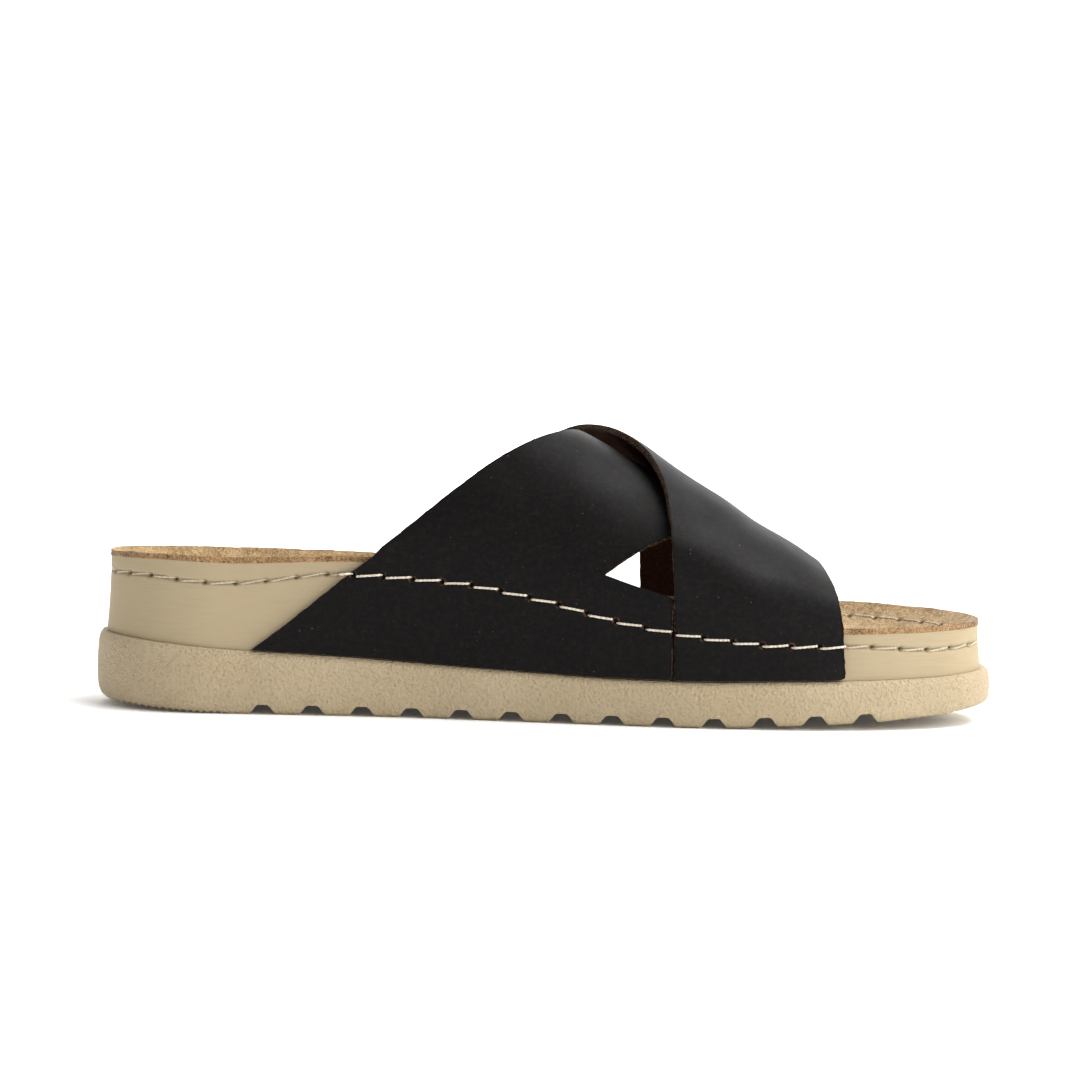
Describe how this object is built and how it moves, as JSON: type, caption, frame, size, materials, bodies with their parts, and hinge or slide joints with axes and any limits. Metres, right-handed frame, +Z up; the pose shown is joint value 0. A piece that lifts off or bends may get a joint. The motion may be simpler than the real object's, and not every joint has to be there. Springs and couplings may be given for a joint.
{
  "type": "slide sandal",
  "caption": "Cross-strap slide sandal for a left foot: moulded sole unit with grooved tread, cupped leather insole and two wide crossed leather straps.",
  "frame": {"origin": "on the floor, under the middle of the sandal's box", "axes": "+X to the toe, +Y to the outer (little toe) side of a left foot, +Z up"},
  "size_m": [0.265, 0.099, 0.0835],
  "materials": {
    "outsole": "moulded polyurethane, fine pebble grain",
    "midsole": "moulded polyurethane, smooth with faint lines",
    "insole": "tan split leather, napped",
    "upper": "oiled leather, near black, raw cut edges",
    "thread": "waxed cream thread"
  },
  "bodies": {
    "root": {"outsole": "outsole", "midsole": "midsole", "insole": "insole", "upper": "upper"}
  },
  "joints": []
}
